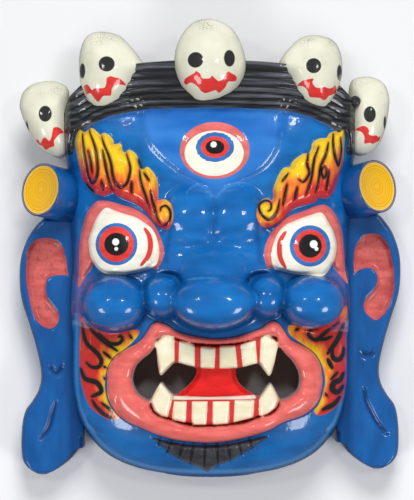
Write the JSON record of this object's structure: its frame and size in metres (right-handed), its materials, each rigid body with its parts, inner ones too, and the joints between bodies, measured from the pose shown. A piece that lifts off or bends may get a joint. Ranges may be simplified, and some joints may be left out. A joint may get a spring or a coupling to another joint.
{
  "type": "carved wooden deity mask",
  "caption": "Carved and painted wooden wall mask of a wrathful deity, with bulging eyes, an open fanged mouth, long-lobed ears and a crown of skulls, hollow behind.",
  "frame": {"origin": "middle of the mask's outline, on the plane of its flat back rim", "axes": "+X to the viewer's right, +Y towards the top of the head, +Z the way the face looks"},
  "size_m": [0.3398, 0.3999, 0.132],
  "materials": {
    "blue_enamel": "gloss enamel brushed on carved wood",
    "black_enamel": "gloss enamel brushed on carved wood",
    "bone_enamel": "gloss enamel brushed on carved wood",
    "flame_enamel": "blended yellow to red gloss enamel on carved wood",
    "lip_enamel": "gloss enamel brushed on carved wood",
    "bare_wood": "gouged, unpainted"
  },
  "bodies": {
    "root": {"mask": "blue_enamel"}
  },
  "joints": []
}
